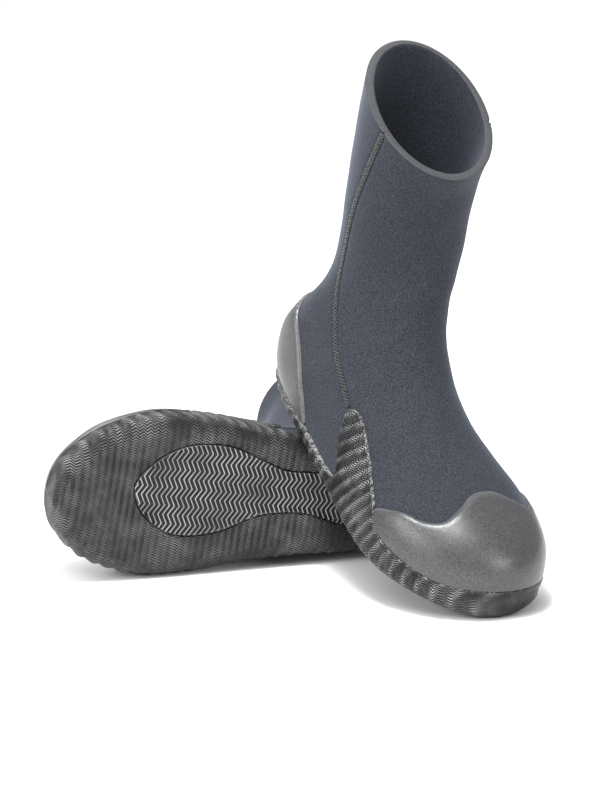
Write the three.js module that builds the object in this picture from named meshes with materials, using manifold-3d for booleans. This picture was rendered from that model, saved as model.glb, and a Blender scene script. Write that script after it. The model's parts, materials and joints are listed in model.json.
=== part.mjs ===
// A pair of pull-on neoprene boots for water sports. The right boot stands with its toe on the
// ground and its heel on the left boot, which lies on its inner side with its sole outwards.
//
// Each boot is a sock of foam neoprene: a front and a rear panel, joined by an overlocked seam
// down each side, and a bottom panel. Moulded rubber covers it: an outsole with a wing up each
// side of the arch, a tread panel let into the outsole, a toe cap and a heel cap. Both panels
// are split round the ankle, where the neoprene bends, so that the shaft can swing on the foot.
//
// Millimetres. A boot's own frame: x runs from the heel to the toe, y points to the
// inner side, z is up from the ground. The pair's frame: +Z up, origin on the ground under the
// middle of the pair.
import * as THREE from "three";
import { mergeVertices } from "three/addons/utils/BufferGeometryUtils.js";
import Module from "manifold-3d";

const wasm = await Module();
wasm.setup();

// ---- Driving dimensions -------------------------------------------------------------------

const GAP = 0.3; // between pieces that touch
const NEOPRENE = 5.5; // wall of the sock
const CAP_THICKNESS = 2; // toe and heel caps
const RIM_THICKNESS = 3; // outsole where it wraps up the sides
const SOLE_THICKNESS = 7; // outsole under the foot, before its underside is cut flat
const SOLE_UNDERSIDE = 0.6; // the tread panel stands this proud of the outsole
const TREAD_DEPTH = 1.8;
const INSOLE_THICKNESS = 3;
const STITCH_WIDTH = 4;
const STITCH_THICKNESS = 0.8;
const SOCK_FLOOR = 5; // underside of the sock above the ground

// The sock's sections from toe tip to collar. Each runs from a point on the sole or the back
// of the leg to a point on the ridge of the foot or the front of the leg.
// [sole x, sole z, ridge x, ridge z, half width, sole y, ridge y, share of the section's height
//  where it is widest, squareness below that, squareness above it]
const LAST = [
  [280, 16, 280, 22, 1, 9, 9, 0.5, 2.0, 2.0],
  [277, 9, 277, 36, 16, 8, 10, 0.42, 2.3, 2.0],
  [267, 5, 268, 46, 30, 7, 10, 0.37, 2.8, 2.1],
  [247, 5, 249, 55, 44, 5, 9, 0.34, 3.7, 2.2],
  [213, 5, 217, 65, 53, 2, 8, 0.32, 4.5, 2.2],
  [178, 5, 186, 73, 51, -1, 7, 0.31, 4.5, 2.1],
  [144, 5, 156, 82, 45, -4, 5, 0.31, 4.2, 2.1],
  [111, 5, 134, 93, 41, -6, 5, 0.31, 4.0, 2.1],
  [81, 5, 119, 106, 39, -7, 5, 0.33, 3.8, 2.1],
  [54, 6, 110, 118, 38, -8, 5, 0.35, 3.4, 2.1],
  [31, 13, 105, 128, 37, -7, 6, 0.38, 3.0, 2.1],
  [17, 32, 101, 138, 36, -5, 6, 0.4, 2.6, 2.1],
  [18, 54, 97, 147, 35, -3, 7, 0.43, 2.4, 2.1],
  [23, 82, 92, 156, 35, 0, 7, 0.46, 2.2, 2.1],
  [20, 110, 88, 167, 35.5, 0, 6, 0.5, 2.1, 2.1],
  [6, 154, 82, 185, 39, -1, 3, 0.5, 2.0, 2.0],
  [-12, 203, 77, 204, 42, 0, 1, 0.5, 2.0, 2.0],
  [-26, 247, 77, 222, 44, 0, 0, 0.5, 2.0, 2.0],
];

// Outlines in side view, [x, z], with the sole flat.
const SEAM = [
  [160, -20], [152, 26], [140, 44], [125, 53], [106, 61], [76, 78], [54, 104], [44, 129], [40, 164],
  [39, 202], [39, 300],
];
const ANKLE_SLOPE = 0.35; // rise of the ankle band towards the front
const ANKLE_LOW = 95; // its lower edge at the back of the heel
const ANKLE_HIGH = 135;
const SOLE_EDGE = [
  [320, 32], [280, 25], [262, 21], [240, 21], [214, 25], [197, 29], [188, 37], [170, 46], [143, 56],
  [125, 61], [117, 57], [120, 47], [127, 37], [136, 28], [140, 20], [122, 16], [84, 16], [40, 15],
  [0, 17], [-30, 20],
];
const TOE_CAP_EDGE = [
  [181, -10], [183, 24], [190, 36], [202, 43], [214, 47], [227, 48], [235, 52], [232, 58], [223, 64],
  [213, 75], [205, 110],
];
const HEEL_CAP_EDGE = [[99, -10], [92, 18], [73, 36], [58, 48], [37, 61], [12, 69], [-40, 71]];

// The tread panel in plan, [x, y]: a broad pad under the ball, a waist and a heel pad.
const TREAD_OUTLINE = [
  [229, -4], [220, 14], [198, 26], [168, 22], [140, 8], [108, 4], [84, 9], [64, 11], [47, 5],
  [41, -8], [47, -21], [64, -28], [86, -27], [108, -25], [128, -25], [146, -31], [170, -38],
  [198, -35], [220, -20],
];

// The sole bends up at the ball of the foot, over this stretch of it.
const BALL_START = 150;
const BALL_LENGTH = 75;

// How each boot lies, in degrees, and where the back of its heel is. A positive pitch is nose
// down, and toeBend is how far the ball of the foot is bent.
const RIGHT = { side: 1, heading: -56.5, pitch: 35.8, roll: -1, x: -6, y: -201, toeBend: 14 };
const LEFT = { side: -1, heading: -162.5, pitch: -9.5, roll: 86.2, x: 108, y: -253.5, toeBend: 0 };

const RINGS = 24; // sections along the sock
const RING_POINTS = 16; // points round each section
const FAR = 400; // beyond any point of a boot

// ---- The sock's surface -------------------------------------------------------------------

// The section at u, counted in rows of LAST, on smooth curves through the rows.
function sectionAt(u) {
  const row = Math.min(Math.floor(u), LAST.length - 2);
  const f = u - row;
  const before = LAST[Math.max(row - 1, 0)];
  const after = LAST[Math.min(row + 2, LAST.length - 1)];
  return LAST[row].map((p, k) => {
    const q = LAST[row + 1][k];
    const bend = 2 * before[k] - 5 * p + 4 * q - after[k];
    const twist = -before[k] + 3 * p - 3 * q + after[k];
    return p + 0.5 * f * (q - before[k] + f * (bend + f * twist));
  });
}

// A side-view point once the ball of the foot is bent through `bend` radians.
function bent(x, z, bend) {
  if (bend === 0 || x <= BALL_START) return [x, z];
  const radius = BALL_LENGTH / bend;
  const turn = Math.min(x - BALL_START, BALL_LENGTH) / radius;
  const beyond = Math.max(x - BALL_START - BALL_LENGTH, 0);
  const reach = radius - (z - SOCK_FLOOR);
  return [
    BALL_START + reach * Math.sin(turn) + beyond * Math.cos(turn),
    SOCK_FLOOR + radius - reach * Math.cos(turn) + beyond * Math.sin(turn),
  ];
}

// A point of the outer surface. The angle is 0 on the sole and pi on the ridge.
function skinPoint(u, angle, bend) {
  const [soleX, soleZ, ridgeX, ridgeZ, half, soleY, ridgeY, wide, low, high] = sectionAt(u);
  const down = Math.cos(angle) > 0;
  const power = 2 / (down ? low : high);
  const rise = Math.abs(Math.cos(angle)) ** power;
  const t = down ? wide - wide * rise : wide + (1 - wide) * rise;
  const across = Math.sign(Math.sin(angle)) * Math.abs(Math.sin(angle)) ** power;
  const [x, z] = bent(soleX + (ridgeX - soleX) * t, soleZ + (ridgeZ - soleZ) * t, bend);
  return new THREE.Vector3(x, soleY + (ridgeY - soleY) * t + half * across, z);
}

// The outward normal there, from its neighbours.
function skinNormal(u, angle, bend) {
  const du = 0.05;
  const da = 0.06;
  const ahead = skinPoint(Math.min(u + du, LAST.length - 1), angle, bend);
  const along = ahead.sub(skinPoint(Math.max(u - du, 0), angle, bend));
  const round = skinPoint(u, angle + da, bend).sub(skinPoint(u, angle - da, bend));
  return along.cross(round).normalize();
}

// The sock's shape grown by `grow` (shrunk where negative) and by `below` where it faces down.
// `open` carries it on past the collar, so that it cuts a way out.
function sockSolid(grow, bend, { below = grow, open = false } = {}) {
  const start = grow < 0 ? 0.4 : 0;
  const last = LAST.length - 1;
  const rings = [];
  for (let i = 0; i < RINGS; i += 1) {
    const u = start + ((last - start) * i) / (RINGS - 1);
    const ring = [];
    for (let k = 0; k < RING_POINTS; k += 1) {
      const angle = (2 * Math.PI * k) / RING_POINTS;
      const normal = skinNormal(u, angle, bend);
      const reach = grow + (below - grow) * Math.max(0, -normal.z);
      ring.push(skinPoint(u, angle, bend).addScaledVector(normal, reach));
    }
    rings.push(ring);
  }
  if (open) {
    const up = new THREE.Vector3(0, 0, 20);
    rings.push(rings.at(-1).map((p) => p.clone().add(up)));
  }
  return loft(rings);
}

// ---- Solids -------------------------------------------------------------------------------

// A manifold solid from a closed geometry.
function solidOf(geometry) {
  geometry.deleteAttribute("normal");
  geometry.deleteAttribute("uv");
  const merged = mergeVertices(geometry, 1e-4);
  return new wasm.Manifold(
    new wasm.Mesh({
      numProp: 3,
      vertProperties: merged.attributes.position.array,
      triVerts: new Uint32Array(merged.index.array),
    }),
  );
}

// A closed solid through rings of points, with a fan over each end.
function loft(rings) {
  const n = rings[0].length;
  const points = rings.flat();
  const index = [];
  for (let i = 0; i + 1 < rings.length; i += 1) {
    for (let k = 0; k < n; k += 1) {
      const a = i * n + k;
      const b = i * n + ((k + 1) % n);
      index.push(a, b + n, b, a, a + n, b + n);
    }
  }
  const middle = (ring) => {
    const sum = ring.reduce((s, p) => s.add(p), new THREE.Vector3());
    return sum.divideScalar(n);
  };
  const first = points.push(middle(rings[0])) - 1;
  const final = points.push(middle(rings.at(-1))) - 1;
  const top = (rings.length - 1) * n;
  for (let k = 0; k < n; k += 1) {
    const next = (k + 1) % n;
    index.push(first, k, next);
    index.push(final, top + next, top + k);
  }
  const geometry = new THREE.BufferGeometry().setFromPoints(points);
  geometry.setIndex(index);
  return solidOf(geometry);
}

// A side-view outline carried across the boot from y = from to y = to.
function across(outline, from = -100, to = 100) {
  const shape = new THREE.Shape(outline.map(([x, z]) => new THREE.Vector2(x, z)));
  const slab = new THREE.ExtrudeGeometry(shape, { depth: to - from, bevelEnabled: false });
  slab.rotateX(Math.PI / 2);
  slab.translate(0, to, 0);
  return solidOf(slab);
}

// A plan outline carried up from z = low to z = high.
function upright(outline, low, high) {
  const shape = new THREE.Shape(outline.map(([x, y]) => new THREE.Vector2(x, y)));
  const slab = new THREE.ExtrudeGeometry(shape, { depth: high - low, bevelEnabled: false });
  slab.translate(0, 0, low);
  return solidOf(slab);
}

// A smooth line through points, with `steps` pieces to each span.
function smooth(points, steps = 2, closed = false) {
  const corners = points.map(([a, b]) => new THREE.Vector3(a, b, 0));
  const curve = new THREE.CatmullRomCurve3(corners, closed, "centripetal");
  const count = (points.length - (closed ? 0 : 1)) * steps;
  const line = curve.getPoints(count).map((p) => [p.x, p.y]);
  return closed ? line.slice(0, -1) : line;
}

// A line moved along x or z.
const moved = (line, dx, dz) => line.map(([x, z]) => [x + dx, z + dz]);

// The part of the side view in front of, behind, below or above a line.
const inFrontOf = (line) => across([...line, [FAR, line.at(-1)[1]], [FAR, line[0][1]]]);
const behind = (line) => across([...line, [-FAR, line.at(-1)[1]], [-FAR, line[0][1]]]);
const below = (line) => across([...line, [line.at(-1)[0], -FAR], [line[0][0], -FAR]]);
const above = (line) => across([...line, [line.at(-1)[0], FAR], [line[0][0], FAR]]);

// ---- The pieces of one right boot ---------------------------------------------------------

const COLOURS = {
  neoprene: { color: 0x3a3e47, roughness: 0.9, metalness: 0 },
  foam: { color: 0x6d6f72, roughness: 0.95, metalness: 0 },
  cap: { color: 0x54565a, roughness: 0.55, metalness: 0 },
  sole: { color: 0x222325, roughness: 0.65, metalness: 0 },
  thread: { color: 0x15171b, roughness: 0.85, metalness: 0 },
};

function bootPieces(bend) {
  const half = GAP / 2;
  const sock = sockSolid(0, bend).subtract(sockSolid(-NEOPRENE, bend, { open: true }));
  const wrapped = sockSolid(GAP, bend);
  const curved = (line) => line.map(([x, z]) => bent(x, z, bend));
  const seam = smooth(SEAM);
  const front = inFrontOf(moved(seam, half, 0));
  const rear = behind(moved(seam, -half, 0));

  // The ankle band lies between two slanted planes.
  const slant = (z) => [[-FAR, z - FAR * ANKLE_SLOPE], [FAR, z + FAR * ANKLE_SLOPE]];
  const foot = below(slant(ANKLE_LOW - half));
  const shaft = above(slant(ANKLE_HIGH + half));
  const ankle = above(slant(ANKLE_LOW + half)).intersect(below(slant(ANKLE_HIGH - half)));

  // The bottom panel is a slab under the two side panels, and the insole lies on it.
  const floor = SOCK_FLOOR + NEOPRENE;
  const level = (z) => curved(levelLine(z));
  const upper = foot.intersect(above(level(floor + half)));
  const insoleTop = floor + 2 * GAP + INSOLE_THICKNESS;
  const insoleSlab = above(level(floor + 2 * GAP)).intersect(below(level(insoleTop)));
  const insole = sockSolid(-NEOPRENE - 2 * GAP, bend).intersect(insoleSlab);

  // Rubber over the sock.
  const edge = curved(smooth(SOLE_EDGE, 2));
  const soleSide = [...edge, [edge.at(-1)[0], -FAR], [edge[0][0], -FAR]];
  const rimRoom = across(grown(soleSide, GAP));
  const treadSlab = above(level(0)).intersect(below(level(TREAD_DEPTH)));
  const tread = upright(planOf(TREAD_OUTLINE, bend), -FAR, FAR).intersect(treadSlab);
  const pocketSlab = above(level(-GAP)).intersect(below(level(TREAD_DEPTH + GAP)));
  const pocket = upright(planOf(grown(TREAD_OUTLINE, GAP), bend), -FAR, FAR);
  const outsole = sockSolid(RIM_THICKNESS, bend, { below: SOLE_THICKNESS })
    .subtract(wrapped)
    .intersect(across(soleSide))
    .intersect(above(level(SOLE_UNDERSIDE)))
    .subtract(pocket.intersect(pocketSlab));
  const caps = sockSolid(GAP + CAP_THICKNESS, bend).subtract(wrapped).subtract(rimRoom);

  const pieces = [
    ["outsole", outsole, "sole"],
    ["tread_panel", tread, "sole"],
    ["toe_cap", caps.intersect(inFrontOf(curved(smooth(TOE_CAP_EDGE)))), "cap"],
    ["heel_cap", caps.intersect(behind(smooth(HEEL_CAP_EDGE))), "cap"],
    ["vamp", sock.intersect(front).intersect(upper), "neoprene"],
    ["front_ankle", sock.intersect(front).intersect(ankle), "neoprene"],
    ["front_shaft", sock.intersect(front).intersect(shaft), "neoprene"],
    ["heel_panel", sock.intersect(rear).intersect(upper), "neoprene"],
    ["rear_ankle", sock.intersect(rear).intersect(ankle), "neoprene"],
    ["rear_shaft", sock.intersect(rear).intersect(shaft), "neoprene"],
    ["bottom_panel", sock.intersect(below(level(floor - half))), "foam"],
    ["insole", insole, "foam"],
  ];

  // Overlock stitching down each side, in a foot, an ankle and a shaft length.
  const band = inFrontOf(moved(seam, -STITCH_WIDTH / 2, 0)).intersect(
    behind(moved(seam, STITCH_WIDTH / 2, 0)),
  );
  const thread = sockSolid(GAP + STITCH_THICKNESS, bend).subtract(wrapped);
  const stitching = thread.intersect(band).subtract(rimRoom);
  const everything = [[-FAR, -FAR], [FAR, -FAR], [FAR, FAR], [-FAR, FAR]];
  const sides = [["outer", across(everything, -100, 0)], ["inner", across(everything, 0, 100)]];
  for (const [name, sideHalf] of sides) {
    const line = stitching.intersect(sideHalf);
    pieces.push([`${name}_seam_foot`, line.intersect(foot), "thread"]);
    pieces.push([`${name}_seam_ankle`, line.intersect(ankle), "thread"]);
    pieces.push([`${name}_seam_shaft`, line.intersect(shaft), "thread"]);
  }
  return pieces;
}

// A level line in side view, with points enough to bend.
function levelLine(z) {
  const steps = 6;
  const line = [[-FAR, z], [BALL_START, z]];
  for (let i = 1; i <= steps; i += 1) line.push([BALL_START + (BALL_LENGTH * i) / steps, z]);
  return [...line, [FAR, z]];
}

// A smooth plan outline, foreshortened as the ball of the foot bends.
function planOf(outline, bend) {
  return smooth(outline, 2, true).map(([x, y]) => [bent(x, 0, bend)[0], y]);
}

// A closed anticlockwise outline moved outwards, square to the line between each point's
// neighbours.
function grown(outline, distance) {
  return outline.map(([x, y], i) => {
    const [ax, ay] = outline[(i + outline.length - 1) % outline.length];
    const [bx, by] = outline[(i + 1) % outline.length];
    const length = Math.hypot(bx - ax, by - ay);
    return [x + ((by - ay) / length) * distance, y - ((bx - ax) / length) * distance];
  });
}

// ---- The pair -----------------------------------------------------------------------------

// A solid as a geometry; side -1 mirrors it and turns its faces back out.
function geometryOf(solid, side) {
  const mesh = solid.getMesh();
  const positions = Float32Array.from(mesh.vertProperties);
  const index = Array.from(mesh.triVerts);
  if (side < 0) {
    for (let i = 1; i < positions.length; i += 3) positions[i] = -positions[i];
    for (let i = 0; i < index.length; i += 3) [index[i], index[i + 1]] = [index[i + 1], index[i]];
  }
  const geometry = new THREE.BufferGeometry();
  geometry.setAttribute("position", new THREE.BufferAttribute(positions, 3));
  geometry.setIndex(index);
  geometry.computeVertexNormals();
  return geometry;
}

function boot(name, pose) {
  const group = new THREE.Group();
  for (const [piece, solid, finish] of bootPieces(THREE.MathUtils.degToRad(pose.toeBend))) {
    const material = new THREE.MeshStandardMaterial(COLOURS[finish]);
    const mesh = new THREE.Mesh(geometryOf(solid, pose.side), material);
    mesh.name = `${name}_${piece}`;
    group.add(mesh);
  }
  const turn = [pose.roll, pose.pitch, pose.heading].map(THREE.MathUtils.degToRad);
  group.rotation.set(...turn, "ZYX");
  group.position.set(pose.x, pose.y, 0);
  group.position.z = -new THREE.Box3().setFromObject(group, true).min.z;
  return group;
}

const pair = new THREE.Group();
pair.add(boot("right", RIGHT));
pair.add(boot("left", LEFT));

// The origin goes on the ground under the middle of the pair.
const centre = new THREE.Box3().setFromObject(pair, true).getCenter(new THREE.Vector3());
for (const member of pair.children) {
  member.position.x -= centre.x;
  member.position.y -= centre.y;
}

export default pair;
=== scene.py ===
"""A pair of pull-on neoprene boots: foam neoprene socks in moulded rubber soles and caps.

Each boot is built in its own frame, in millimetres: x runs from the heel to the toe,
y points to the inner side and z is up from the ground, with the sole flat. A piece is a
sheet cut from the sock's surface and given thickness, then the ball of the foot is bent, the
left boot is mirrored, and the frame's sole mount and ankle joint say where the boot lies.
The stage, lights and camera are in metres, in the frame's own axes.
"""

import json
import math

import bpy
import numpy as np
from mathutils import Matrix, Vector


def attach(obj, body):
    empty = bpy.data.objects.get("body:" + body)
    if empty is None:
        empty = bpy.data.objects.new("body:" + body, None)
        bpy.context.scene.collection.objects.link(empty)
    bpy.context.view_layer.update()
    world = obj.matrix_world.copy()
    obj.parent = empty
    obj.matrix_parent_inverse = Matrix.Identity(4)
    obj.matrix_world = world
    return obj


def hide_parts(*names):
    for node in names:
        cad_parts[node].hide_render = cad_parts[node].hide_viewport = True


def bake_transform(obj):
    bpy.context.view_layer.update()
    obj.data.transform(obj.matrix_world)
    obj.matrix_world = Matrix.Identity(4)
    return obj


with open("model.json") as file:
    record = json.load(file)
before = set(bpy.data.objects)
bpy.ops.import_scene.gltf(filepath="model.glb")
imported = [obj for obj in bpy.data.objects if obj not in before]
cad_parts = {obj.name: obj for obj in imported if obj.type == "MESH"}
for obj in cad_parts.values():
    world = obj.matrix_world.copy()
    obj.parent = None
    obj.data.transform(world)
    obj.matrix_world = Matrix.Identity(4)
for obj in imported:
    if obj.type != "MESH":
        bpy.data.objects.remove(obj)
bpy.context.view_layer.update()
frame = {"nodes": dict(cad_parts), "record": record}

# ---- Driving dimensions, in millimetres ----------------------------------------------------

MM = 0.001  # metres
GAP = 0.3  # between pieces that touch
NEOPRENE = 5.5  # wall of the sock
CAP_THICKNESS = 2.0  # toe and heel caps
RIM_THICKNESS = 3.0  # outsole where it wraps up the sides
SOLE_THICKNESS = 7.0  # outsole under the foot, before its underside is cut flat
SOLE_UNDERSIDE = 0.6  # the tread panel stands this proud of the outsole
TREAD_DEPTH = 1.8
SOCK_FLOOR = 5.0  # underside of the sock above the ground
FAR = 400.0  # beyond any point of a boot

# The sock's sections from toe tip to collar, as in the CAD model:
# [sole x, sole z, ridge x, ridge z, half width, sole y, ridge y, share of the section's height
#  where it is widest, squareness below that, squareness above it]
LAST = np.array([
    [280, 16, 280, 22, 1, 9, 9, 0.5, 2.0, 2.0],
    [277, 9, 277, 36, 16, 8, 10, 0.42, 2.3, 2.0],
    [267, 5, 268, 46, 30, 7, 10, 0.37, 2.8, 2.1],
    [247, 5, 249, 55, 44, 5, 9, 0.34, 3.7, 2.2],
    [213, 5, 217, 65, 53, 2, 8, 0.32, 4.5, 2.2],
    [178, 5, 186, 73, 51, -1, 7, 0.31, 4.5, 2.1],
    [144, 5, 156, 82, 45, -4, 5, 0.31, 4.2, 2.1],
    [111, 5, 134, 93, 41, -6, 5, 0.31, 4.0, 2.1],
    [81, 5, 119, 106, 39, -7, 5, 0.33, 3.8, 2.1],
    [54, 6, 110, 118, 38, -8, 5, 0.35, 3.4, 2.1],
    [31, 13, 105, 128, 37, -7, 6, 0.38, 3.0, 2.1],
    [17, 32, 101, 138, 36, -5, 6, 0.4, 2.6, 2.1],
    [18, 54, 97, 147, 35, -3, 7, 0.43, 2.4, 2.1],
    [23, 82, 92, 156, 35, 0, 7, 0.46, 2.2, 2.1],
    [20, 110, 88, 167, 35.5, 0, 6, 0.5, 2.1, 2.1],
    [6, 154, 82, 185, 39, -1, 3, 0.5, 2.0, 2.0],
    [-12, 203, 77, 204, 42, 0, 1, 0.5, 2.0, 2.0],
    [-26, 247, 77, 222, 44, 0, 0, 0.5, 2.0, 2.0],
])

# Outlines in side view, [x, z], with the sole flat.
SEAM = [
    [160, -20], [152, 26], [140, 44], [125, 53], [106, 61], [76, 78], [54, 104], [44, 129],
    [40, 164], [39, 202], [39, 300],
]
SOLE_EDGE = [
    [320, 32], [280, 25], [262, 21], [240, 21], [214, 25], [197, 29], [188, 37], [170, 46],
    [143, 56], [125, 61], [117, 57], [120, 47], [127, 37], [136, 28], [140, 20], [122, 16],
    [84, 16], [40, 15], [0, 17], [-30, 20],
]
TOE_CAP_EDGE = [
    [181, -10], [183, 24], [190, 36], [202, 43], [214, 47], [227, 48], [235, 52], [232, 58],
    [223, 64], [213, 75], [205, 110],
]
HEEL_CAP_EDGE = [[99, -10], [92, 18], [73, 36], [58, 48], [37, 61], [12, 69], [-40, 71]]

# The tread panel in plan, [x, y].
TREAD_OUTLINE = [
    [229, -4], [220, 14], [198, 26], [168, 22], [140, 8], [108, 4], [84, 9], [64, 11], [47, 5],
    [41, -8], [47, -21], [64, -28], [86, -27], [108, -25], [128, -25], [146, -31], [170, -38],
    [198, -35], [220, -20],
]

# The sole bends up at the ball of the foot, over this stretch of it.
BALL_START = 150.0
BALL_LENGTH = 75.0
TOE_BEND = {"right": math.radians(14), "left": 0.0}
SIDE = {"right": 1, "left": -1}
ANKLE = np.array([54.0, 0.0, 120.0])  # where the ankle hinge crosses the boot's middle
ANKLE_SLOPE = 0.35  # rise of the ankle's plane towards the front

# Moulded detail.
RIB_PITCH = 9.5  # broad ribs up the sides of the outsole
RIB_HEIGHT = 1.4
RIB_SHARPNESS = 2.6
RIB_LEAN = 0.3  # how far they lean forwards with height
RIB_SWEEP = 0.0022  # and how fast the lean grows
WAVE_PITCH = 1.6  # fine waves all over the outsole
WAVE_LENGTH = 4.7  # length of one zigzag of a wave, and how far it swings
WAVE_SWING = 0.8
CHEVRON_PITCH = 3.4  # ribs of the tread panel
CHEVRON_BAND = 6.3  # width of a band in which they lean one way, and how far they lean
CHEVRON_SWING = 3.6
CAP_EDGE_HEIGHT = 0.15  # a cap's free edge, and how far in it reaches full thickness
CAP_EDGE_RADIUS = 3.5
RIM_RADIUS = 2.5  # rounding of the outsole's free edge
RUBBER_LIFT = GAP * 0.7  # inner face of the moulded rubber off the neoprene

# Sewing and cloth.
STITCH_PITCH = 2.3
STITCH_HALF_WIDTH = 1.7
STITCH_END = 0.8  # bare seam at the collar and at the rubber
THREAD_RADIUS = 0.42
THREAD_SIDES = 6
SEAM_DRAW = 1.0  # how deep the seam draws the cloth in, and over what width
SEAM_DRAW_WIDTH = 3.5
RIPPLE = 0.35
RIPPLE_SIZE = 17.0
COLLAR_LIP = 0.7  # how far the cut foam swells at the collar
BEND_BELOW = 16.0  # the ankle would bend from this far below its hinge
BEND_ABOVE = 30.0  # to this far above it; no bend is made

# The columns of a sheet's rows: a point, its normal, its distance round from the sole's middle,
# and its place along the sock, counted in rows of LAST.
POINT = slice(0, 3)
NORMAL = slice(3, 6)
AROUND = 6
PLACE = 7
SHEET_WIDTH = 8
COLLAR = len(LAST) - 1.0


# ---- Lines and fields ----------------------------------------------------------------------

def smoothstep(low, high, value):
    """0 below low, 1 above high and smooth between."""
    t = np.clip((value - low) / (high - low), 0, 1)
    return t * t * (3 - 2 * t)


def triangle(value):
    """A zigzag between -1 and 1 with period 1."""
    return 4 * np.abs(value - np.floor(value + 0.5)) - 1


def catmull(points, at):
    """A smooth curve through the rows of a table, read at row numbers `at`."""
    points = np.asarray(points, float)
    last = len(points) - 1
    row = np.clip(np.floor(at).astype(int), 0, last - 1)
    f = (at - row)[:, None]
    a = points[np.maximum(row - 1, 0)]
    b = points[row]
    c = points[row + 1]
    d = points[np.minimum(row + 2, last)]
    bend = 2 * a - 5 * b + 4 * c - d
    return b + 0.5 * f * (c - a + f * (bend + f * (3 * b - a - 3 * c + d)))


def centripetal(points, steps):
    """A smooth line from the second to the last but one of the points, free of overshoots."""
    line = []
    for a, b, c, d in zip(points, points[1:], points[2:], points[3:]):
        first, middle, final = (np.linalg.norm(q - p) ** 0.5 for p, q in ((a, b), (b, c), (c, d)))
        leave = ((b - a) / first - (c - a) / (first + middle) + (c - b) / middle) * middle
        arrive = ((c - b) / middle - (d - b) / (middle + final) + (d - c) / final) * middle
        for k in range(steps):
            t = k / steps
            cubic = (2 * b - 2 * c + leave + arrive) * t + (3 * c - 3 * b - 2 * leave - arrive)
            line.append(b + t * (leave + t * cubic))
    return line


def smooth_line(points, steps=8):
    """A smooth open line through points."""
    points = [np.array(p, float) for p in points]
    ends = [2 * points[0] - points[1]], [2 * points[-1] - points[-2]]
    return np.array(centripetal(ends[0] + points + ends[1], steps) + [points[-1]])


def smooth_loop(points, steps=6):
    """A smooth closed line through points."""
    points = [np.array(p, float) for p in points]
    return np.array(centripetal(points[-1:] + points + points[:2], steps))


def depth_inside(outline, a, b):
    """Signed distance of the points (a, b) from a closed outline, positive inside it."""
    start = np.asarray(outline, float)
    end = np.roll(start, -1, axis=0)
    nearest = np.full(len(a), np.inf)
    inside = np.zeros(len(a), bool)
    for (ax, ay), (bx, by) in zip(start, end):
        ex, ey = bx - ax, by - ay
        t = np.clip(((a - ax) * ex + (b - ay) * ey) / (ex * ex + ey * ey + 1e-12), 0, 1)
        nearest = np.minimum(nearest, (a - ax - t * ex) ** 2 + (b - ay - t * ey) ** 2)
        if ay != by:
            crosses = (ay > b) != (by > b)
            inside ^= crosses & (a < ax + (b - ay) / (by - ay) * ex)
    return np.where(inside, 1, -1) * np.sqrt(nearest)


def region(line, x=None, z=None):
    """The side view on one side of a line, out to x or z."""
    line = np.asarray(line, float)
    if x is not None:
        corners = [[x, line[-1][1]], [x, line[0][1]]]
    else:
        corners = [[line[-1][0], z], [line[0][0], z]]
    return np.vstack([line, corners])


SOLE_REGION = region(smooth_line(SOLE_EDGE), z=-FAR)
TOE_REGION = region(smooth_line(TOE_CAP_EDGE), x=FAR)
HEEL_REGION = region(smooth_line(HEEL_CAP_EDGE), x=-FAR)
FRONT_REGION = region(smooth_line(SEAM), x=FAR)
REAR_REGION = region(smooth_line(SEAM), x=-FAR)
TREAD_LOOP = smooth_loop(TREAD_OUTLINE)


def rough(x, y, z, size):
    """A smooth irregular value between about -1 and 1, for hand-made edges."""
    a = np.sin(x / size + 1.7 * np.sin(z / size / 1.3 + 0.5)) * np.cos(y / size * 1.31 + 0.8)
    b = np.sin(x / size * 2.37 + y / size * 1.9 + 1.1) * np.cos(z / size * 2.71 - 0.6)
    return 0.6 * a + 0.4 * b


# ---- The sock's surface --------------------------------------------------------------------

def quarter(squareness, count=40):
    """Angles from 0 to a right angle, closer together where the section turns fast."""
    near = (math.pi / 4) * np.linspace(0, 1, count) ** (squareness / 2)
    return np.concatenate([near, (math.pi / 2 - near[::-1])[1:]])


def half_section(row, columns):
    """Half of a section from the sole's middle to the ridge, evenly spaced: its share of the
    height and of the half width at each point, and its length."""
    sole_x, sole_z, ridge_x, ridge_z, half, _, _, wide, low, high = row
    under = quarter(low)
    over = math.pi - quarter(high)[::-1][1:]
    angle = np.concatenate([under, over])
    down = angle <= math.pi / 2
    power = np.where(down, 2 / low, 2 / high)
    rise = np.abs(np.cos(angle)) ** power
    share = np.where(down, wide - wide * rise, wide + (1 - wide) * rise)
    out = np.abs(np.sin(angle)) ** power
    span = math.hypot(ridge_x - sole_x, ridge_z - sole_z)
    steps = np.hypot(np.diff(share) * span, np.diff(out) * half)
    travelled = np.concatenate([[0], np.cumsum(steps)])
    even = np.linspace(0, travelled[-1], columns + 1)
    return np.interp(even, travelled, share), np.interp(even, travelled, out), travelled[-1]


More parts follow.
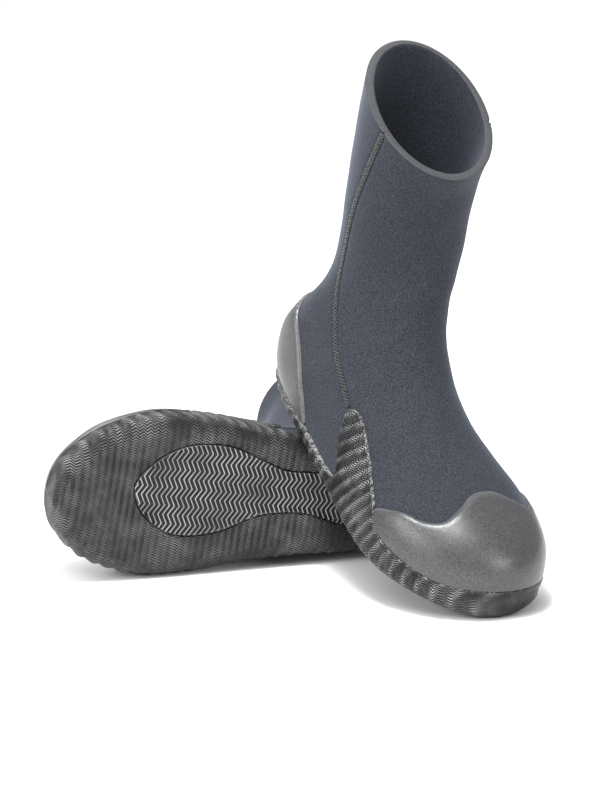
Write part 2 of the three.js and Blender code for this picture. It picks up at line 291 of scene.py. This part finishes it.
def sock_sheet(rows, columns, sole_weight, first=0.0, last=COLLAR):
    """The sock's whole surface as a sheet: an array with a row per vertex, [x, y, z, normal,
    distance round from the sole's middle, place between toe and collar], and four-sided faces.
    Rows are spaced by the length of the sole line, of the ridge line, or of a mix."""
    dense = np.linspace(first, last, 600)  # finer than any sheet, to measure lengths on
    lines = catmull(LAST, dense)
    sole = np.hypot(np.diff(lines[:, 0]), np.diff(lines[:, 1]))
    ridge = np.hypot(np.diff(lines[:, 2]), np.diff(lines[:, 3]))
    step = sole_weight * sole + (1 - sole_weight) * ridge
    travelled = np.concatenate([[0], np.cumsum(step)])
    place = np.interp(np.linspace(0, travelled[-1], rows), travelled, dense)
    around = 2 * columns
    points = np.zeros((rows, around, 3))
    distance = np.zeros((rows, around))
    outer = np.arange(columns, -1, -1)
    inner = np.arange(1, columns)
    index = np.concatenate([outer, inner])
    sign = np.concatenate([-np.ones(columns + 1), np.ones(columns - 1)])
    for i, row in enumerate(catmull(LAST, place)):
        share, out, length = half_section(row, columns)
        t = share[index]
        points[i, :, 0] = row[0] + (row[2] - row[0]) * t
        points[i, :, 1] = row[5] + (row[6] - row[5]) * t + sign * row[4] * out[index]
        points[i, :, 2] = row[1] + (row[3] - row[1]) * t
        distance[i] = sign * index / columns * length
    along = np.gradient(points, axis=0)
    across = np.roll(points, -1, axis=1) - np.roll(points, 1, axis=1)
    normal = np.cross(along, across)
    normal /= np.linalg.norm(normal, axis=2, keepdims=True) + 1e-9
    if first == 0.0:
        points[0] = points[0].mean(axis=0)
        normal[0] = [1, 0, 0]
    data = np.concatenate(
        [points, normal, distance[..., None], np.repeat(place[:, None, None], around, 1)], axis=2
    )
    faces = []
    for i in range(rows - 1):
        for k in range(around):
            a = i * around + k
            b = i * around + (k + 1) % around
            faces.append((a, b, b + around, a + around))
    return data.reshape(-1, SHEET_WIDTH), faces


def cut(sheet, keep):
    """The part of a sheet where keep(data) is positive, ending on a clean line."""
    data, faces = sheet
    value = keep(data)
    positive = value > 0
    extra = []
    made = {}

    def crossing(a, b):
        key = (min(a, b), max(a, b))
        if key not in made:
            t = value[a] / (value[a] - value[b])
            extra.append(data[a] + (data[b] - data[a]) * t)
            made[key] = len(data) + len(extra) - 1
        return made[key]

    kept = []
    for face in faces:
        inside = [positive[v] for v in face]
        if all(inside):
            kept.append(face)
        elif any(inside):
            corners = []
            for k, a in enumerate(face):
                b = face[(k + 1) % len(face)]
                if positive[a]:
                    corners.append(a)
                if positive[a] != positive[b]:
                    corners.append(crossing(a, b))
            kept.append(tuple(corners))
    everything = np.vstack([data, extra]) if extra else data
    used = sorted({v for face in kept for v in face})
    renumber = {v: i for i, v in enumerate(used)}
    return everything[used], [tuple(renumber[v] for v in face) for face in kept]


def boundary(faces):
    """The directed edges that only one face uses."""
    edges = {}
    for face in faces:
        for k, a in enumerate(face):
            edges[(a, face[(k + 1) % len(face)])] = True
    return [(a, b) for a, b in edges if (b, a) not in edges]


# ---- From a boot's own frame to the scene --------------------------------------------------

def bend_ball(points, bend):
    """Points once the ball of the foot is bent."""
    if bend == 0:
        return points
    x, z = points[:, 0], points[:, 2]
    radius = BALL_LENGTH / bend
    turn = np.clip(x - BALL_START, 0, BALL_LENGTH) / radius
    beyond = np.maximum(x - BALL_START - BALL_LENGTH, 0)
    reach = radius - (z - SOCK_FLOOR)
    bent = points.copy()
    bent[:, 0] = BALL_START + reach * np.sin(turn) + beyond * np.cos(turn)
    bent[:, 2] = SOCK_FLOOR + radius - reach * np.cos(turn) + beyond * np.sin(turn)
    return np.where((x > BALL_START)[:, None], bent, points)


def place_of(boot):
    """A boot's rotation and origin in the scene, from its sole mount and its ankle joint."""
    mounts = {m["name"]: m for m in frame["record"]["mounts"]}
    joints = {j["name"]: j for j in frame["record"]["behaviour"]["joints"]}
    joint = joints[f"{boot}_ankle_flex"]
    up = -np.array(mounts[f"{boot}_sole"]["axis"], float)
    across = np.array(joint["axis"], float)
    up /= np.linalg.norm(up)
    across -= up * (across @ up)
    across /= np.linalg.norm(across)
    turn = np.column_stack([np.cross(across, up), across, up])
    return turn, np.array(joint["pos_m"], float) - turn @ ANKLE * MM


PLACES = {boot: place_of(boot) for boot in SIDE}


def to_scene(boot, points):
    """Points of a boot's own frame, in the scene's."""
    turn, origin = PLACES[boot]
    bent = bend_ball(np.asarray(points, float), TOE_BEND[boot])
    return (bent * [1, SIDE[boot], 1]) @ turn.T * MM + origin


def object_of(boot, name, points, faces, materials, face_material=None, layers=None, uv=None,
              sharp=50):
    """A mesh object from points in a boot's own frame."""
    if SIDE[boot] < 0:
        faces = [tuple(reversed(face)) for face in faces]
    mesh = bpy.data.meshes.new(f"{boot}_{name}")
    mesh.from_pydata(to_scene(boot, points).tolist(), [], [list(face) for face in faces])
    for material in materials:
        mesh.materials.append(material)
    if face_material is not None:
        mesh.polygons.foreach_set("material_index", np.asarray(face_material, np.int32))
    for layer, values in (layers or {}).items():
        attribute = mesh.attributes.new(layer, "FLOAT", "POINT")
        attribute.data.foreach_set("value", np.asarray(values, np.float32))
    if uv is not None:
        corners = np.empty(len(mesh.loops), np.int32)
        mesh.loops.foreach_get("vertex_index", corners)
        coordinates = (np.asarray(uv)[corners] * MM).astype(np.float32)
        mesh.uv_layers.new(name="surface").data.foreach_set("uv", coordinates.ravel())
    mesh.polygons.foreach_set("use_smooth", np.ones(len(mesh.polygons), bool))
    mesh.set_sharp_from_angle(angle=math.radians(sharp))
    mesh.validate()
    piece = bpy.data.objects.new(mesh.name, mesh)
    bpy.context.scene.collection.objects.link(piece)
    return piece


def slab(boot, name, faces, outer, inner, materials, lip=None, layers=None, uv=None, sharp=50):
    """A closed piece between an outer and an inner sheet. The lip is how far the wall between
    them stands out at each vertex. Materials: outer side, walls, inner side."""
    count = len(outer)
    shares = [] if lip is None else [(0.1, 0.75), (0.35, 1.0), (0.65, 1.0), (0.9, 0.75)]
    points = [outer]
    for share, stand in shares:
        points.append(outer + (inner - outer) * share + lip * stand)
    points.append(inner)
    total = len(points)
    everything = list(faces)
    index = [0] * len(faces)
    for a, b in boundary(faces):
        for level in range(total - 1):
            here, there = level * count, (level + 1) * count
            everything.append((b + here, a + here, a + there, b + there))
            index.append(1)
    everything += [tuple(v + (total - 1) * count for v in reversed(face)) for face in faces]
    index += [2] * len(faces)
    repeat = {key: np.tile(values, total) for key, values in (layers or {}).items()}
    wide = None if uv is None else np.tile(uv, (total, 1))
    points, everything, keep = without_strays(np.vstack(points), everything)
    repeat = {key: values[keep] for key, values in repeat.items()}
    wide = None if wide is None else wide[keep]
    return object_of(boot, name, points, everything, materials, index, repeat, wide, sharp)


def without_strays(points, faces):
    """The points that faces use, and the faces renumbered."""
    used = np.zeros(len(points), bool)
    for face in faces:
        used[list(face)] = True
    keep = np.flatnonzero(used)
    number = np.cumsum(used) - 1
    return points[keep], [tuple(int(number[v]) for v in face) for face in faces], keep


# ---- Materials -----------------------------------------------------------------------------

class Nodes:
    """A material and short calls for its nodes. Texture scales count features to the metre."""

    def __init__(self, name, roughness, **settings):
        self.material = bpy.data.materials.new(name)
        self.material.use_nodes = True
        self.tree = self.material.node_tree
        self.shader = self.tree.nodes["Principled BSDF"]
        self.shader.inputs["Roughness"].default_value = roughness
        for socket, value in settings.items():
            self.shader.inputs[socket.replace("_", " ")].default_value = value

    def add(self, kind, **settings):
        """A new node."""
        node = self.tree.nodes.new(kind)
        for key, value in settings.items():
            setattr(node, key, value)
        return node

    def link(self, source, target):
        """Joins an output to an input."""
        self.tree.links.new(source, target)

    def put(self, socket, value):
        """Gives an input a constant or another node's output."""
        if isinstance(value, bpy.types.NodeSocket):
            self.link(value, socket)
        else:
            socket.default_value = value

    def math(self, operation, *values):
        """A sum, product or function of values."""
        node = self.add("ShaderNodeMath", operation=operation)
        for socket, value in zip(node.inputs, values):
            self.put(socket, value)
        return node.outputs[0]

    def noise(self, scale, detail=3.0, roughness=0.6):
        """Noise in the object's own space, with `scale` features to the metre."""
        node = self.add("ShaderNodeTexNoise")
        node.inputs["Scale"].default_value = scale
        node.inputs["Detail"].default_value = detail
        node.inputs["Roughness"].default_value = roughness
        self.link(self.add("ShaderNodeTexCoord").outputs["Object"], node.inputs[0])
        return node.outputs["Fac"]

    def attribute(self, name):
        """A value stored on the mesh."""
        return self.add("ShaderNodeAttribute", attribute_name=name).outputs["Fac"]

    def ramp(self, value, stops):
        """A colour looked up by a value between stops."""
        node = self.add("ShaderNodeValToRGB")
        elements = node.color_ramp.elements
        while len(elements) < len(stops):
            elements.new(0.5)
        for element, (position, colour) in zip(elements, stops):
            element.position = position
            element.color = (*colour, 1)
        self.link(value, node.inputs[0])
        return node.outputs[0]

    def mix(self, factor, first, second, blend="MIX"):
        """Two colours mixed."""
        node = self.add("ShaderNodeMix", data_type="RGBA", blend_type=blend)
        self.put(node.inputs[0], factor)
        self.put(node.inputs[6], first)
        self.put(node.inputs[7], second)
        return node.outputs[2]

    def range(self, value, low, high):
        """A value between 0 and 1, moved to between low and high."""
        node = self.add("ShaderNodeMapRange")
        self.link(value, node.inputs[0])
        node.inputs[3].default_value = low
        node.inputs[4].default_value = high
        return node.outputs[0]

    def bump(self, height, distance, strength=1.0, normal=None):
        """The surface's normal once a height, up to `distance` metres, stands on it."""
        node = self.add("ShaderNodeBump")
        node.inputs["Strength"].default_value = strength
        node.inputs["Distance"].default_value = distance
        self.link(height, node.inputs["Height"])
        if normal is not None:
            self.link(normal, node.inputs["Normal"])
        return node.outputs[0]

    def finish(self, colour, roughness=None, normal=None):
        """Sets the shader's inputs and gives the material."""
        self.put(self.shader.inputs["Base Color"], colour)
        if roughness is not None:
            self.link(roughness, self.shader.inputs["Roughness"])
        if normal is not None:
            self.link(normal, self.shader.inputs["Normal"])
        return self.material


def jersey(name, dark, light, sheen):
    """Fine nylon knit on foam: a heathered fleck, a slow change of shade and a soft sheen."""
    m = Nodes(name, 0.85, Sheen_Weight=sheen, Sheen_Roughness=0.45)
    m.shader.inputs["Sheen Tint"].default_value = (0.62, 0.7, 0.9, 1)
    m.shader.inputs["Specular IOR Level"].default_value = 0.25
    fleck = m.noise(1350, 2.0, 0.7)
    fibre = m.noise(3000, 2.0, 0.6)
    both = m.math("ADD", m.math("MULTIPLY", fleck, 0.65), m.math("MULTIPLY", fibre, 0.35))
    knit = m.ramp(both, [(0.4, dark), (0.62, light)])
    shade = m.range(m.noise(14, 3.0), 0.82, 1.16)
    colour = m.mix(1.0, knit, shade, "MULTIPLY")
    return m.finish(colour, m.range(fleck, 0.78, 0.92), m.bump(both, 0.0004, 0.55))


def foam_edge():
    """Cut closed-cell foam: warm grey, with fine cells."""
    m = Nodes("foam_edge", 0.9)
    m.shader.inputs["Specular IOR Level"].default_value = 0.2
    cells = m.noise(1500, 3.0, 0.7)
    colour = m.ramp(cells, [(0.3, (0.026, 0.0265, 0.029)), (0.7, (0.075, 0.077, 0.081))])
    return m.finish(colour, None, m.bump(cells, 0.0003, 0.5))


def cap_rubber(name, dark, light):
    """Satin moulded rubber: a fine orange-peel grain and slow cloudy shine, scuffed at edges."""
    m = Nodes(name, 0.42)
    m.shader.inputs["Specular IOR Level"].default_value = 0.55
    cloud = m.noise(38, 4.0, 0.6)
    grain = m.noise(1300, 2.0, 0.65)
    fleck = m.ramp(grain, [(0.32, dark), (0.68, light)])
    shade = m.range(cloud, 0.85, 1.15)
    colour = m.mix(1.0, fleck, shade, "MULTIPLY")
    edge = m.attribute("edge")
    colour = m.mix(m.math("MULTIPLY", edge, 0.2), colour, (0.2, 0.2, 0.195, 1))
    bumps = m.bump(grain, 0.0003, 0.45, m.bump(cloud, 0.0012, 0.2))
    return m.finish(colour, m.range(cloud, 0.25, 0.36), bumps)


def wavy(m):
    """The height of the outsole's fine waves, from its own length and girth coordinates."""
    split = m.add("ShaderNodeSeparateXYZ")
    m.link(m.add("ShaderNodeUVMap", uv_map="surface").outputs[0], split.inputs[0])
    along, around = split.outputs[0], split.outputs[1]
    zigzag = m.math("PINGPONG", m.math("DIVIDE", along, WAVE_LENGTH * MM / 2), 1.0)
    line = m.math("ADD", around, m.math("MULTIPLY", zigzag, 2 * WAVE_SWING * MM))
    return m.math("SINE", m.math("MULTIPLY", line, 2 * math.pi / (WAVE_PITCH * MM)))


def outsole_rubber():
    """Black moulded rubber with fine waves, lighter on the crests with rubbed wear and a painted
    highlight, darkest in the troughs with painted shade, and pale along its edge with dried cement."""
    m = Nodes("outsole_rubber", 0.42)
    m.shader.inputs["Specular IOR Level"].default_value = 0.42
    wave = m.range(wavy(m), 0.0, 1.0)
    wave.node.inputs[1].default_value = -1.0
    grain = m.noise(700, 3.0, 0.7)
    cloud = m.noise(45, 3.0)
    crest = m.attribute("crest")
    # Painted highlight: the crests of the waves and ribs are lightened, partly as rubbed wear, and
    # the troughs are darkened below the rubber's own black as painted shade.
    highlight_and_wear = m.math("ADD", m.math("MULTIPLY", wave, 0.85), m.math("MULTIPLY", crest, 0.22))
    highlight_and_wear = m.math("MULTIPLY", highlight_and_wear, m.range(cloud, 0.45, 1.3))
    colour = m.ramp(highlight_and_wear, [
        (0.35, (0.001, 0.0012, 0.0015)), (0.68, (0.02, 0.0205, 0.022)), (0.96, (0.36, 0.365, 0.37)),
    ])
    broken = m.math("GREATER_THAN", m.noise(420, 3.0, 0.75), 0.5)
    cement = m.math("MULTIPLY", m.attribute("edge"), m.range(broken, 0.15, 0.85))
    colour = m.mix(cement, colour, (0.25, 0.25, 0.24, 1))
    rows = m.bump(wave, 0.001, 1.0, m.bump(grain, 0.0003, 0.4))
    return m.finish(colour, m.range(grain, 0.34, 0.5), rows)


def tread_rubber():
    """Black moulded rubber, shiny, lighter on its chevron ribs with a painted highlight and rubbed
    wear, and darkest in the grooves with painted shade.
    """
    m = Nodes("tread_rubber", 0.4)
    m.shader.inputs["Specular IOR Level"].default_value = 0.5
    grain = m.noise(900, 3.0, 0.7)
    cloud = m.range(m.noise(40, 3.0), 0.6, 1.3)
    # Painted highlight on the tops of the ribs and painted shade in the grooves between them, from
    # the crest layer.
    highlight_and_wear = m.math("MULTIPLY", m.attribute("crest"), cloud)
    colour = m.ramp(highlight_and_wear, [
        (0.2, (0.001, 0.0012, 0.0015)), (0.6, (0.018, 0.0185, 0.02)), (1.0, (0.33, 0.335, 0.34)),
    ])
    return m.finish(colour, m.range(grain, 0.34, 0.5), m.bump(grain, 0.0002, 0.4))


def thread():
    """Twisted nylon sewing thread, nearly black with light fibres."""
    m = Nodes("thread", 0.7, Sheen_Weight=0.3)
    fibre = m.noise(1800, 2.0, 0.7)
    colour = m.ramp(fibre, [(0.42, (0.006, 0.0065, 0.007)), (0.72, (0.06, 0.066, 0.062))])
    return m.finish(colour, None, m.bump(fibre, 0.0002, 0.6))


def insole_foam():
    """Moulded foam under a black fabric face."""
    m = Nodes("insole_foam", 0.9)
    weave = m.noise(1400, 2.0, 0.7)
    colour = m.ramp(weave, [(0.35, (0.008, 0.0085, 0.01)), (0.7, (0.03, 0.032, 0.037))])
    return m.finish(colour, None, m.bump(weave, 0.0003, 0.5))


JERSEY = jersey("neoprene_jersey", (0.0025, 0.0033, 0.005), (0.043, 0.047, 0.058), 0.17)
LINING = jersey("neoprene_lining", (0.004, 0.005, 0.008), (0.034, 0.039, 0.05), 0.16)
FOAM = foam_edge()
TOE_RUBBER = cap_rubber("toe_cap_rubber", (0.012, 0.0124, 0.013), (0.075, 0.077, 0.079))
HEEL_RUBBER = cap_rubber("heel_cap_rubber", (0.02, 0.0205, 0.021), (0.1, 0.101, 0.103))
SOLE_RUBBER = outsole_rubber()
TREAD_RUBBER = tread_rubber()
THREAD = thread()
INSOLE = insole_foam()


# ---- The pieces ----------------------------------------------------------------------------

def rounded(depth, radius):
    """The height of a rounded edge, from 0 at the edge to 1 at its radius and beyond."""
    t = np.clip(depth / radius, 0, 1)
    return np.sqrt(np.clip(1 - (1 - t) ** 2, 0, 1))


def panel(boot, name, nodes, region_of_panel):
    """A neoprene panel from under the rubber to the collar, all in one piece over the ankle."""
    floor = SOCK_FLOOR + NEOPRENE + GAP / 2

    def side(data):
        return depth_inside(region_of_panel, data[:, 0], data[:, 2]) - GAP / 3

    sheet = cut(SOCK, side)
    sheet = cut(sheet, lambda data: data[:, 2] - floor)
    data, faces = sheet
    skin, normal = data[:, POINT], data[:, NORMAL]
    x, y, z = skin.T
    seam = side(data)
    # The seam draws the cloth in, and above the rubber the cloth ripples a little.
    draw = SEAM_DRAW * (1 - smoothstep(0, SEAM_DRAW_WIDTH, seam))
    ripple = RIPPLE * rough(x, y, z, RIPPLE_SIZE)
    ripple *= smoothstep(0, 12, seam) * smoothstep(60, 90, z)
    collar = smoothstep(COLLAR - 0.25, COLLAR, data[:, PLACE])
    outer = skin + normal * (ripple * (1 - collar) - draw)[:, None]
    inner = skin - normal * NEOPRENE
    along_leg = np.array([-0.3, 0, 0.95])
    lip = along_leg * (COLLAR_LIP * (data[:, PLACE] > COLLAR - 1e-6))[:, None]
    piece = slab(boot, name, faces, outer, inner, [JERSEY, FOAM, LINING], lip)
    over_ankle(piece, boot)
    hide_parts(*[f"{boot}_{node}" for node in nodes])
    return piece


def over_ankle(piece, boot):
    """Where the piece would bend between the foot and the shaft, across the slanted ankle, is
    worked out, but no bend is made: the piece's placement is baked into its mesh.
    """
    up = np.array([-ANKLE_SLOPE, 0, 1]) / math.hypot(1, ANKLE_SLOPE)
    start, end = to_scene(boot, [ANKLE - BEND_BELOW * up, ANKLE + BEND_ABOVE * up])
    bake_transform(piece)


def foot_piece(piece, boot, node):
    """A piece of the foot that stands for one CAD node."""
    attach(piece, f"{boot}_foot")
    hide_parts(f"{boot}_{node}")


def cap(boot, name, cap_region, material):
    """A moulded rubber cap over the sock, with a rounded free edge."""

    def inside(data):
        x, z = data[:, 0], data[:, 2]
        own = depth_inside(cap_region, x, z)
        return np.minimum(own, -depth_inside(SOLE_REGION, x, z) - GAP)

    data, faces = cut(SOCK, inside)
    skin, normal = data[:, POINT], data[:, NORMAL]
    x, y, z = skin.T
    own = depth_inside(cap_region, x, z)
    height = CAP_EDGE_HEIGHT + (CAP_THICKNESS - CAP_EDGE_HEIGHT) * rounded(own, CAP_EDGE_RADIUS)
    height += 0.06 * rough(x, y, z, 6.0)
    outer = skin + normal * (GAP + height)[:, None]
    inner = skin + normal * RUBBER_LIFT
    edge = 1 - smoothstep(0.3, 1.6, own)
    piece = slab(boot, name, faces, outer, inner, [material] * 3, layers={"edge": edge})
    foot_piece(piece, boot, name)


def outsole(boot):
    """The outsole: flat beneath, wrapped up the sides, ribbed, with a pocket for the tread."""

    def inside(data):
        x, y, z = data[:, 0], data[:, 1], data[:, 2]
        return depth_inside(SOLE_REGION, x, z) + 0.45 * rough(x, y, z, 4.0) - 0.3

    data, faces = cut(SOLE_SHEET, inside)
    skin, normal, around = data[:, POINT], data[:, NORMAL], data[:, AROUND]
    x, y, z = skin.T
    depth = inside(data)
    facing_down = np.maximum(0, -normal[:, 2])
    reach = RIM_THICKNESS + (SOLE_THICKNESS - RIM_THICKNESS) * facing_down
    reach = GAP + (reach - GAP) * (0.25 + 0.75 * rounded(depth, RIM_RADIUS))
    phase = (x - RIB_LEAN * z - RIB_SWEEP * z ** 2) / RIB_PITCH
    crest = (0.5 + 0.5 * np.sin(2 * math.pi * phase)) ** RIB_SHARPNESS
    on_side = smoothstep(0.95, 0.45, facing_down)
    strength = RIB_HEIGHT * on_side * smoothstep(0, 3, depth)
    outer = skin + normal * (reach + strength * (crest - 1))[:, None]
    outer = outer + normal * (0.12 * rough(x, y, z, 2.0))[:, None]
    # The underside is cut flat, with faint traces of the ribs, and has the tread's pocket.
    under = smoothstep(0.9, 0.2, outer[:, 2])
    soft = 0.15 * (1 - crest) * (1 - smoothstep(0.35, 0.95, facing_down) * 0.5)
    outer[:, 2] = np.maximum(outer[:, 2], SOLE_UNDERSIDE + soft * under)
    pocket = depth_inside(TREAD_LOOP, outer[:, 0], outer[:, 1])
    sunk = (pocket > -GAP) & (facing_down > 0.6)
    outer[:, 2] = np.where(sunk, np.maximum(outer[:, 2], TREAD_DEPTH + GAP), outer[:, 2])
    inner = skin + normal * RUBBER_LIFT
    edge = 1 - smoothstep(0.2, 1.0, depth)
    # The crest layer marks the ribs' crests, which the outsole's material lightens with rubbed wear
    # and a painted highlight.
    layers = {"edge": edge, "crest": crest * np.maximum(on_side, 0.15)}
    uv = np.column_stack([x, around])
    piece = slab(boot, "outsole", faces, outer, inner, [SOLE_RUBBER] * 3, None, layers, uv)
    foot_piece(piece, boot, "outsole")


def tread_panel(boot):
    """The tread panel: zigzag ribs inside a thin rim, let into the outsole."""
    step = 0.5
    groove = 1.45  # depth of the grooves between the ribs
    low, high = TREAD_LOOP.min(axis=0) - 1, TREAD_LOOP.max(axis=0) + 1
    xs = np.arange(low[0], high[0], step)
    ys = np.arange(low[1], high[1], step)
    grid = np.array([[x, y] for x in xs for y in ys])
    wide = len(ys)
    faces = []
    for i in range(len(xs) - 1):
        for k in range(wide - 1):
            a = i * wide + k
            faces.append((a, a + 1, a + 1 + wide, a + wide))
    data, faces = cut((grid, faces), lambda d: depth_inside(TREAD_LOOP, d[:, 0], d[:, 1]))
    x, y = data[:, 0], data[:, 1]
    depth = depth_inside(TREAD_LOOP, x, y)
    phase = (x + CHEVRON_SWING / 2 * triangle(y / (2 * CHEVRON_BAND))) / CHEVRON_PITCH
    rib = smoothstep(-0.5, 0.95, np.sin(2 * math.pi * phase))
    rim = (1 - smoothstep(1.0, 1.7, depth)) * 0.75
    height = np.maximum(rib, rim) * smoothstep(0, 0.5, depth)
    outer = np.column_stack([x, y, groove * (1 - height)])
    inner = np.column_stack([x, y, np.full(len(x), TREAD_DEPTH)])
    # The crest layer marks the ribs' tops, which the tread's material lightens with a painted
    # highlight and rubbed wear, leaving painted shade in the grooves.
    layers = {"crest": height ** 2}
    piece = slab(boot, "tread_panel", faces, outer, inner, [TREAD_RUBBER] * 3, None, layers)
    foot_piece(piece, boot, "tread_panel")


def seam_route(side):
    """Points and normals down the seam on one side, from the rubber up to the collar."""
    data = SOCK[0]
    value = depth_inside(FRONT_REGION, data[:, 0], data[:, 2])
    rows = len(data) // SOCK_AROUND
    value = value.reshape(rows, SOCK_AROUND)
    data = data.reshape(rows, SOCK_AROUND, SHEET_WIDTH)
    route = []
    for i in range(rows):
        for k in range(SOCK_AROUND - 1):
            here, there = value[i, k], value[i, k + 1]
            on_side = side * (data[i, k, AROUND] + data[i, k + 1, AROUND]) > 0
            if on_side and (here > 0) != (there > 0):
                t = here / (here - there)
                route.append(data[i, k] + (data[i, k + 1] - data[i, k]) * t)
    route = np.array(route)
    route = route[np.argsort(route[:, 2])]
    wing_top = max(z for _, z in SOLE_EDGE)
    above = route[:, 2] >= wing_top - 8
    outside = depth_inside(SOLE_REGION, route[:, 0], route[:, 2]) < -0.5
    return route[outside & above]


def stitching(boot, name, side):
    """Overlock stitching over a side seam: two threads that cross back and forth."""
    route = seam_route(side)
    points, normals = route[:, POINT], route[:, NORMAL]
    steps = np.linalg.norm(np.diff(points, axis=0), axis=1)
    travelled = np.concatenate([[0], np.cumsum(steps)])
    end = travelled[-1] - STITCH_END
    samples = int(end / STITCH_PITCH * 8)
    at = np.linspace(STITCH_END, end, samples)
    centre = np.column_stack([np.interp(at, travelled, points[:, i]) for i in range(3)])
    normal = np.column_stack([np.interp(at, travelled, normals[:, i]) for i in range(3)])
    normal /= np.linalg.norm(normal, axis=1, keepdims=True)
    ahead = np.gradient(centre, axis=0)
    ahead /= np.linalg.norm(ahead, axis=1, keepdims=True)
    sideways = np.cross(ahead, normal)
    rings, faces = [], []
    for shift, lift in ((0.0, 0.45), (0.5, 0.7)):
        swing = triangle(at / STITCH_PITCH / 2 + shift)
        path = centre + sideways * (STITCH_HALF_WIDTH * swing)[:, None]
        bow = 0.35 * (1 - swing ** 2)
        path = path + normal * (lift - 0.75 + bow + 0.25 * np.abs(swing))[:, None]
        along = np.gradient(path, axis=0)
        along /= np.linalg.norm(along, axis=1, keepdims=True)
        second = np.cross(along, normal)
        second /= np.linalg.norm(second, axis=1, keepdims=True)
        third = np.cross(second, along)
        base = len(rings) * THREAD_SIDES
        strands = []
        for k in range(THREAD_SIDES):
            angle = 2 * math.pi * k / THREAD_SIDES
            offset = math.cos(angle) * second + math.sin(angle) * third
            strands.append(path + THREAD_RADIUS * offset)
        rings.extend(np.stack(strands, axis=1))
        for i in range(len(path) - 1):
            for k in range(THREAD_SIDES):
                a = base + i * THREAD_SIDES + k
                b = base + i * THREAD_SIDES + (k + 1) % THREAD_SIDES
                faces.append((a, b, b + THREAD_SIDES, a + THREAD_SIDES))
        faces.append(tuple(base + k for k in reversed(range(THREAD_SIDES))))
        top = base + (len(path) - 1) * THREAD_SIDES
        faces.append(tuple(top + k for k in range(THREAD_SIDES)))
    piece = object_of(boot, name, np.array(rings).reshape(-1, 3), faces, [THREAD], sharp=80)
    over_ankle(piece, boot)
    parts = ("foot", "ankle", "shaft")
    label = "outer" if side < 0 else "inner"
    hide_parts(*[f"{boot}_{label}_seam_{part}" for part in parts])


def finish_node(node, material):
    """A CAD node that keeps its shape and takes a better material."""
    slots = frame["nodes"][node].data.materials
    slots.clear()
    slots.append(material)


SOCK_COLUMNS = 84
SOCK_AROUND = 2 * SOCK_COLUMNS
SOCK = sock_sheet(170, SOCK_COLUMNS, 0.5)
ABOVE_HEEL = 12.2  # the outsole needs a finer sheet, from the toe to just above the heel
SOLE_SHEET = sock_sheet(330, 170, 1.0, last=ABOVE_HEEL)

for boot in SIDE:
    panel(boot, "front_panel", ("vamp", "front_ankle", "front_shaft"), FRONT_REGION)
    panel(boot, "rear_panel", ("heel_panel", "rear_ankle", "rear_shaft"), REAR_REGION)
    cap(boot, "toe_cap", TOE_REGION, TOE_RUBBER)
    cap(boot, "heel_cap", HEEL_REGION, HEEL_RUBBER)
    outsole(boot)
    tread_panel(boot)
    stitching(boot, "outer_stitching", -1)
    stitching(boot, "inner_stitching", 1)
    finish_node(f"{boot}_bottom_panel", FOAM)
    finish_node(f"{boot}_insole", INSOLE)


# ---- Floor, light and camera ---------------------------------------------------------------

def floor():
    """A plain pale floor that runs back out of sight."""
    half = 60.0  # metres
    corners = [(-half, -half, 0), (half, -half, 0), (half, half, 0), (-half, half, 0)]
    mesh = bpy.data.meshes.new("floor")
    mesh.from_pydata(corners, [], [(0, 1, 2, 3)])
    m = Nodes("floor", 0.9)
    m.shader.inputs["Specular IOR Level"].default_value = 0.1
    mesh.materials.append(m.finish((0.9, 0.9, 0.9, 1)))
    piece = bpy.data.objects.new("floor", mesh)
    bpy.context.scene.collection.objects.link(piece)


def aim(thing, target):
    """Turns a light or camera towards a point."""
    direction = np.asarray(target) - np.asarray(thing.location)
    thing.rotation_euler = Vector(direction).to_track_quat("-Z", "Y").to_euler()


def soft_light(name, location, target, size, power):
    """A square soft box."""
    data = bpy.data.lights.new(name, "AREA")
    data.size = size
    data.energy = power
    light = bpy.data.objects.new(name, data)
    light.location = location
    bpy.context.scene.collection.objects.link(light)
    aim(light, target)


def studio():
    """Even white surroundings, a broad sun, and soft boxes at the left, right, back and above
    the toe."""
    world = bpy.data.worlds.new("studio")
    world.use_nodes = True
    background = world.node_tree.nodes["Background"]
    background.inputs[0].default_value = (1, 1, 1, 1)
    background.inputs[1].default_value = 0.45
    bpy.context.scene.world = world
    middle = (0, 0, 0.15)
    sky = bpy.data.lights.new("overhead", "SUN")
    sky.energy = 2.05
    sky.angle = math.radians(50)
    overhead = bpy.data.objects.new("overhead", sky)
    overhead.location = (-0.5, -0.9, 2.4)
    bpy.context.scene.collection.objects.link(overhead)
    aim(overhead, middle)
    soft_light("left_box", (-1.5, -1.2, 0.9), middle, 0.8, 20)
    soft_light("right_box", (1.2, -1.6, 0.7), middle, 0.6, 12)
    soft_light("back_box", (-1.0, 1.6, 1.4), middle, 1.2, 18)
    soft_light("toe_box", (-0.1, -0.5, 1.3), (0.1, -0.18, 0.05), 0.35, 20)
    bpy.context.scene.view_settings.view_transform = "Standard"


def camera():
    """A long lens, a little above the boots."""
    elevation = math.radians(12.56)
    distance = 2.6795
    seen = np.array([0.00362, 0.21138, 0.100])  # the point that distance is measured from
    centre = seen + [0.0022, 0, -0.0532]  # the middle of the picture
    back = np.array([0, -math.cos(elevation), math.sin(elevation)])
    data = bpy.data.cameras.new("camera")
    data.lens = 162.7
    data.sensor_width = 36
    viewer = bpy.data.objects.new("camera", data)
    viewer.location = seen + distance * back
    bpy.context.scene.collection.objects.link(viewer)
    aim(viewer, centre)
    bpy.context.scene.camera = viewer


floor()
studio()
camera()
